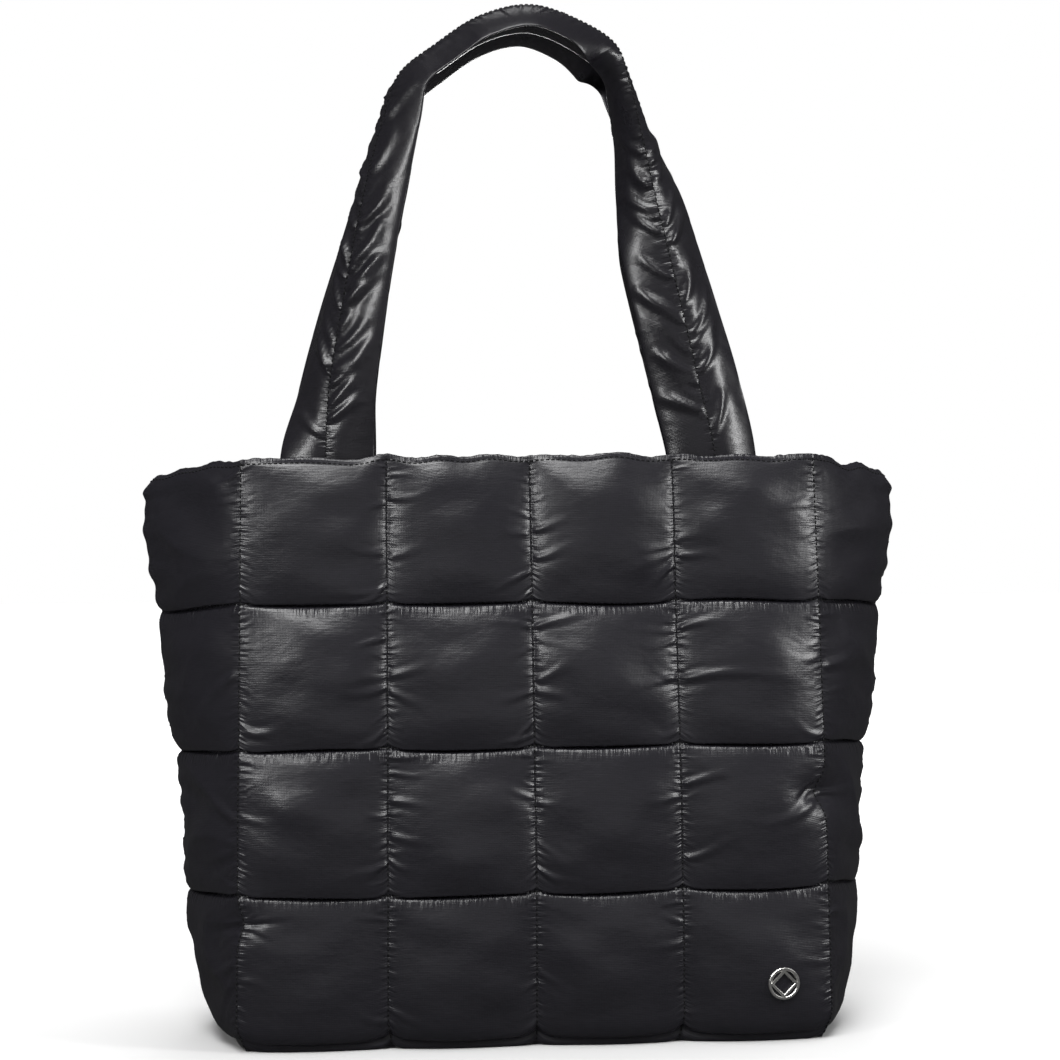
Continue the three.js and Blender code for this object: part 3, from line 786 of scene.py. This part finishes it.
# Straps
# Two padded shoulder straps of the same nylon, each folded round its wadding and stitched down
# the middle. Their ends are sewn inside the rim, and they lean together over the mouth.
STRAP_WIDTH = 0.054
STRAP_PADDING = 0.006
STRAP_STITCHED = 0.0022
STRAP_DROP = 0.260
STRAP_TUCK = 0.026
STRAP_APART = 0.058
STRAP_SECTIONS = 300
STRAP_STEPS = 8  # from the stitches to an edge
STRAP_SLACK = 1.08
STRAP_REACH = 0.0026
STRAP_PRESSURE = 2
STRAP_HOLD = 0.004
EDGE_HOLD = 0.6
KNOT_STEPS = 40
ACROSS_INTO = 30  # points from one line of stitches to the next, in the finished skin
STRAP_PINCH = 0.42
# Knots of the course: where a strap turns over at the right and is pinched, where it is
# overhead, and where it is folded less.
PINCH_AT, PINCH_REACH = 12.6, 0.6
OVERHEAD = (6.3, 14.3)
LIFTED_AT = (5.5, 7, 12, 13.5)
# Creases beside the stitches: the least and most of their length, width, depth and tilt, how
# much they are deepened and levelled, and how fast they fade out.
LONG_CREASE = (((0.024, 0.036), (0.0024, 0.0042), (0.0011, 0.0021), (0.5, 0.95)), (1, 1), 0.4)
SHORT_CREASE = (((0.004, 0.009), (0.0009, 0.0015), (0.0004, 0.0008), (-0.2, 0.6)), (1, 1), 1.2)
CROSS_PUCKER = (((0.009, 0.018), (0.0009, 0.0015), (0.0004, 0.0008), (-0.2, 0.6)), (1.6, 0.4), 1.2)
LONG_CREASE_SHARE = 0.42
CREASE_SPACING = (0.003, 0.0075)
CREASE_END = 0.006
# Spread is between a strap's ends, and centre is their middle. Drift is how far its left and
# right sides move across as they rise. Raised is how much higher it arches, and lifted is how
# much less it is folded overhead, in degrees.
STRAPS = (
    {"name": "front_strap", "facing": 1, "spread": 0.219, "centre": -0.004, "drift": (0, 0),
     "raised": 0, "lifted": 0, "seed": 31},
    {"name": "rear_strap", "facing": -1, "spread": 0.2284, "centre": 0.0038, "drift": (-0.0040, -0.0095),
     "raised": 0.003, "lifted": 12, "seed": 47},
)
# From the left end to the right one: across the bag, up from the rim, towards the middle of the
# mouth, and how far the strap is twisted and its edges are folded, in degrees.
STRAP_COURSE = {
    "across": (-1, -1, -0.98, -0.92, -0.84, -0.76, -0.68, -0.6, -0.41, -0.18, 0.08, 0.32, 0.52, 0.59, 0.65,
               0.71, 0.78, 0.85, 0.93, 1, 1),
    "up": (-1, 0.01, 0.15, 0.3, 0.48, 0.63, 0.75, 0.845, 0.912, 0.975, 1, 0.97, 0.915, 0.84, 0.73,
           0.6, 0.46, 0.32, 0.16, 0.01, -1),
    "lean": (0, 0, 0.16, 0.31, 0.5, 0.66, 0.8, 0.9, 0.96, 1, 1, 1, 0.96, 0.9, 0.8,
             0.66, 0.5, 0.31, 0.16, 0, 0),
    "twist": (0, 10, 34, 43, 52, 58, 67, 78, 84, 84, 84, 84, 76, 20, 6, 4, 12, 10, 5, 5, 0),
    "fold": (0, 8, 15, 16, 20, 23, 24, 26, 28, 28, 28, 30, 46, 74, 66, 46, 28, 22, 18, 16, 0),
}


def strap_seat():
    """How far from the middle of the mouth a strap can be sewn, to lie flat inside the wall."""
    below, column = np.meshgrid(np.linspace(0, 1, 5), np.linspace(FOLD - 1, FOLD, 5))
    inner = skin(column, 1 - below * STRAP_TUCK / BODY_HEIGHT, -1)
    return np.min(-inner[..., 1]) - SEAM_GAP - STRAP_PADDING / 2


def strap_ridge(spread, centre, drift, raised):
    """Points along the stitches of one strap, evenly spaced, and where each is in the course."""
    across, up, lean = (np.array(STRAP_COURSE[name], float) for name in ("across", "up", "lean"))
    drop = STRAP_DROP + raised - STRAP_STITCHED / 2
    seat = strap_seat()
    knots = np.stack(
        [
            centre + across * spread / 2 + np.interp(across, (-0.3, 0.3), drift) * lean,
            -(seat + (STRAP_APART / 2 - seat) * lean),
            BODY_HEIGHT + up * np.where(up < 0, STRAP_TUCK, drop),
        ],
        -1,
    )
    knots = np.concatenate([[2 * knots[0] - knots[1]], knots, [2 * knots[-1] - knots[-2]]])
    course, stations = [], []
    for i in range(len(knots) - 3):
        p = knots[i : i + 4]
        gap = np.linalg.norm(np.diff(p, axis=0), axis=1) ** 0.5
        t = np.linspace(0, 1, KNOT_STEPS + 1)[:, None]
        slope_in = (p[1] - p[0]) / gap[0] - (p[2] - p[0]) / (gap[0] + gap[1]) + (p[2] - p[1]) / gap[1]
        slope_out = (p[2] - p[1]) / gap[1] - (p[3] - p[1]) / (gap[1] + gap[2]) + (p[3] - p[2]) / gap[2]
        curve = smooth(p[1], p[2], slope_in * gap[1], slope_out * gap[1], t)
        keep = slice(0, KNOT_STEPS + (i == len(knots) - 4))
        course.append(curve[keep])
        stations.append((i + t[:, 0])[keep])
    course, stations = np.concatenate(course), np.concatenate(stations)
    run = np.concatenate([[0], np.cumsum(np.linalg.norm(np.diff(course, axis=0), axis=1))])
    even = np.linspace(0, run[-1], STRAP_SECTIONS + 1)
    ridge = np.stack([np.interp(even, run, course[:, axis]) for axis in range(3)], -1)
    return ridge, np.interp(even, run, stations), even


def strap_round():
    """Round a strap: from the stitches out to one edge, back underneath, and to the other edge.

    Steps are how far out that is, half tells the two halves apart, and side the face from the back.
    """
    out = np.sin(np.linspace(0, np.pi / 2, STRAP_STEPS + 1))
    back = out[::-1][1:]
    steps = np.concatenate([out, back, out[1:], back])
    lengths = [STRAP_STEPS + 1] + 3 * [STRAP_STEPS]
    half = np.repeat((1, 1, -1, -1), lengths)
    side = np.repeat((1, -1, -1, 1), lengths)
    fill = STRAP_PADDING - STRAP_STITCHED / 2
    thickness = STRAP_STITCHED * (1 - steps) + fill * np.abs(np.sin(np.pi * steps)) ** 0.6
    return steps, half, side, thickness


def slack_strap(ridge, stations, facing, lifted):
    """The skin of a strap before it is filled: twisted, folded over its stitches and pinched."""
    rows = {**STRAP_COURSE, "at": tuple(range(len(STRAP_COURSE["up"])))}
    twist = np.radians(along(rows, "at", "twist", stations))
    less = np.interp(stations, LIFTED_AT, (0, lifted, lifted, 0))
    fold = np.radians(along(rows, "at", "fold", stations) - less)
    unit = lambda v: v / np.linalg.norm(v, axis=-1, keepdims=True)
    tangent = unit(np.gradient(ridge, axis=0))
    out_of_loop = unit(np.cross(tangent, (0, 1, 0)))
    forward = np.cross(tangent, out_of_loop)
    mix = lambda a, p, b, q: a * p[:, None] + b * q[:, None]
    ridge_faces = mix(forward, np.cos(twist), out_of_loop, np.sin(twist))
    inward = mix(forward, np.sin(twist), out_of_loop, -np.cos(twist))
    steps, half, side, thickness = strap_round()
    half_width = STRAP_WIDTH / 2 * (1 - STRAP_PINCH * bell(stations - PINCH_AT, PINCH_REACH))
    loops = []
    for i in range(len(ridge)):
        lie = inward[i] * np.cos(fold[i])[None] * half[:, None] - ridge_faces[i] * np.sin(fold[i])
        faces = ridge_faces[i] * np.cos(fold[i]) + inward[i] * half[:, None] * np.sin(fold[i])
        faces[steps == 0] = ridge_faces[i]
        loops.append(
            ridge[i] + lie * steps[:, None] * half_width[i] + faces * (side * thickness / 2)[:, None]
        )
    return np.array(loops) * np.array([1, facing, 1])


def filled_strap(slack, run, facing):
    """The same skin, filled out by its wadding, though nowhere by more than its reach."""
    steps, half, side, thickness = strap_round()
    around = len(steps) - 1
    open_ring = slack[:, :-1]
    flat = np.zeros_like(open_ring)
    flat[..., 0] = (half * steps * STRAP_WIDTH / 2)[:-1]
    flat[..., 1] = run[:, None] * STRAP_SLACK
    flat[..., 2] = (side * thickness / 2)[:-1]
    held = np.full(open_ring.shape[:2], STRAP_HOLD)
    held[:, steps[:-1] == 1] = EDGE_HOLD
    held[:, steps[:-1] == 0] = 1
    held[:2] = held[-2:] = 1
    row = np.arange(len(run) - 1)[:, None] * around
    first = (row + np.arange(around)).ravel()
    second = (row + (np.arange(around) + 1) % around).ravel()
    ring_faces = np.stack([first, second, second + around, first + around], -1)
    if facing < 0:
        ring_faces = ring_faces[:, ::-1]
    moved = fill_cloth(open_ring, ring_faces, flat, held, STRAP_PRESSURE) - open_ring
    far = np.linalg.norm(moved, axis=-1, keepdims=True)
    open_ring = open_ring + moved * np.minimum(1, STRAP_REACH / np.maximum(far, 1e-9))
    return np.concatenate([open_ring, open_ring[:, :1]], 1)


def strap_creases(x, z, run, stations, seed):
    """The creases that run out from the stitches of a strap, as heights."""
    chance = np.random.default_rng(seed)
    folds = np.zeros(x.shape)
    for seam in (0, STRAP_WIDTH, 2 * STRAP_WIDTH):
        for direction in (-1, 1):
            one_side = np.zeros(x.shape)
            at = STRAP_TUCK + CREASE_END
            while at < run[-1] - STRAP_TUCK - CREASE_END:
                rising = 1 if at < run[-1] / 2 else -1
                overhead = OVERHEAD[0] < np.interp(at, run, stations) < OVERHEAD[1]
                long = chance.random() < LONG_CREASE_SHARE
                kind = CROSS_PUCKER if overhead else LONG_CREASE if long else SHORT_CREASE
                limits, (deepened, levelled), taper = kind
                length, width, depth, tilt = (chance.uniform(*limit) for limit in limits)
                tilt = rising * tilt * levelled
                heading = tilt if direction > 0 else math.pi - tilt
                bend = rising * direction * chance.uniform(0, 0.4)
                size = (length, width, depth * deepened)
                crease(one_side, x, z, (seam, at), heading, *size, bend, taper)
                at += chance.uniform(*CREASE_SPACING)
            folds += np.where((x - seam) * direction > -1e-6, one_side, 0)
    return folds


def padded_strap(name, facing, spread, centre, drift, raised, lifted, seed):
    """One finished strap. Its two lines of thread are kept for the stitching."""
    ridge, stations, run = strap_ridge(spread, centre, drift, raised)
    skin_points = slack_strap(ridge, stations, facing, lifted)
    skin_points = filled_strap(skin_points, run, facing)

    measure = np.broadcast_to(run[:, None], skin_points.shape[:2])
    place = np.cumsum(np.concatenate([[0], np.abs(np.diff(strap_round()[0]))])) * STRAP_WIDTH / 2
    place = np.broadcast_to(place, measure.shape)
    grid = np.concatenate([skin_points, measure[..., None], place[..., None]], -1)
    fine = sharper(grid, STRAP_SECTIONS // 4, 2 * STRAP_STEPS, STRAP_SECTIONS // 2, ACROSS_INTO)
    points, z, x = fine[..., :3], fine[..., 3], fine[..., 4]
    outward = grid_normals(points) * facing
    to_stitch = np.abs(x - STRAP_WIDTH * np.round(x / STRAP_WIDTH))
    folds = strap_creases(x, z, run, stations, seed) * np.clip(to_stitch / THREAD_HOLD, 0, 1)
    points = points + outward * folds[..., None]

    for i in (0, ACROSS_INTO):
        sewn_lines.append((points[3:-3, i], outward[3:-3, i]))
    rows_of, columns_of = points.shape[:2]
    faces = grid_faces(rows_of, columns_of)
    if facing < 0:
        faces = faces[:, ::-1]
    last = (rows_of - 1) * columns_of
    ends = [list(range(columns_of - 1)), list(range(last, last + columns_of - 1))]
    piece = new_mesh(name + "_skin", points.reshape(-1, 3), [*faces.tolist(), *ends])
    give_detail(piece, x, z, np.full(x.shape, 1.0), to_stitch)
    piece.data.materials.append(strap_nylon)
    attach(piece, "root")
    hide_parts(name)


STRAP_BLACKS = ((0.0074, 0.0069, 0.0088, 1), (0.0112, 0.0106, 0.0132, 1))
STRAP_ROUGHNESS = 0.27
strap_nylon = black_nylon("strap_nylon", *STRAP_BLACKS, STRAP_ROUGHNESS)
for strap in STRAPS:
    padded_strap(**strap)

# Stitching
# Black thread, about three millimetres to a stitch, along every quilted seam, under the rim and
# down the middle of each strap.
STITCH_PITCH = 0.003
STITCH_LENGTH = 0.0022
THREAD_RADIUS = 0.00042
THREAD_SIDES = 6
# Four rings of a stitch: how far along it is each, how thick, and how high over the cloth.
STITCH_RINGS = ((0, 0.5, -0.0004), (0.15, 1, 0.0001), (0.85, 1, 0.0001), (1, 0.5, -0.0004))


def grained(name, scale, detail, roughness, colours, relief):
    """A plain finish with a fine grain in its gloss, its colour and its relief."""
    material = bpy.data.materials.new(name)
    material.use_nodes = True
    surface = material.node_tree.nodes["Principled BSDF"]
    place = add_node(material, "ShaderNodeTexCoord").outputs["Object"]
    inputs = {"Vector": place, "Scale": scale, "Detail": detail}
    grain = add_node(material, "ShaderNodeTexNoise", inputs).outputs["Fac"]
    inputs = {"Value": grain, "To Min": roughness[0], "To Max": roughness[1]}
    gloss = add_node(material, "ShaderNodeMapRange", inputs).outputs[0]
    inputs = {0: grain, 6: colours[0], 7: colours[1]}
    colour = add_node(material, "ShaderNodeMix", inputs, data_type="RGBA").outputs[2]
    inputs = {"Strength": relief[0], "Distance": relief[1], "Height": grain}
    bump = add_node(material, "ShaderNodeBump", inputs).outputs[0]
    for output, socket in ((gloss, "Roughness"), (colour, "Base Color"), (bump, "Normal")):
        material.node_tree.links.new(output, surface.inputs[socket])
    return material, surface


points, faces = [], []
along_stitch, thickness, raised = zip(*STITCH_RINGS)
turns = np.linspace(0, 2 * np.pi, THREAD_SIDES, endpoint=False)
for line, outward in sewn_lines:
    run = np.concatenate([[0], np.cumsum(np.linalg.norm(np.diff(line, axis=0), axis=1))])
    for start in np.arange(STITCH_PITCH / 2, run[-1] - STITCH_LENGTH, STITCH_PITCH):
        at = start + STITCH_LENGTH * np.array(along_stitch)
        middle = np.stack([np.interp(at, run, line[:, axis]) for axis in range(3)], -1)
        facing = np.array([np.interp(at.mean(), run, outward[:, axis]) for axis in range(3)])
        ahead = middle[-1] - middle[0]
        ahead = ahead / np.linalg.norm(ahead)
        aside = np.cross(ahead, facing)
        aside = aside / np.linalg.norm(aside)
        over = np.cross(aside, ahead)
        around = np.cos(turns)[:, None] * aside + np.sin(turns)[:, None] * over
        first = len(points)
        for ring, thick, rise in zip(middle, thickness, raised):
            points.extend(ring + over * rise + around * THREAD_RADIUS * thick)
        for ring in range(3):
            for side in range(THREAD_SIDES):
                a = first + ring * THREAD_SIDES + side
                b = first + ring * THREAD_SIDES + (side + 1) % THREAD_SIDES
                faces.append((a, b, b + THREAD_SIDES, a + THREAD_SIDES))
        faces.append(tuple(range(first + THREAD_SIDES - 1, first - 1, -1)))
        faces.append(tuple(range(first + 3 * THREAD_SIDES, first + 4 * THREAD_SIDES)))
stitching = new_mesh("stitching", points, faces)
thread, surface = grained(
    "black_thread",
    scale=2600.0,
    detail=2.0,
    roughness=(0.55, 0.85),
    colours=((0.003, 0.003, 0.0034, 1), (0.008, 0.008, 0.009, 1)),
    relief=(0.6, 0.0002),
)
surface.inputs["Specular IOR Level"].default_value = 0.2
stitching.data.materials.append(thread)
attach(stitching, "root")

# Badge
# A small round badge of polished metal on the lower right of the front. Two prongs behind it
# hold it in the padding.
silver, surface = grained(
    "polished_silver",
    scale=700.0,
    detail=3.0,
    roughness=(0.26, 0.44),
    colours=((0.80, 0.79, 0.76, 1), (0.93, 0.92, 0.90, 1)),
    relief=(0.3, 0.0001),
)
surface.inputs["Metallic"].default_value = 1
badge = bpy.data.objects["badge"]
for slot in badge.material_slots:
    slot.material = silver
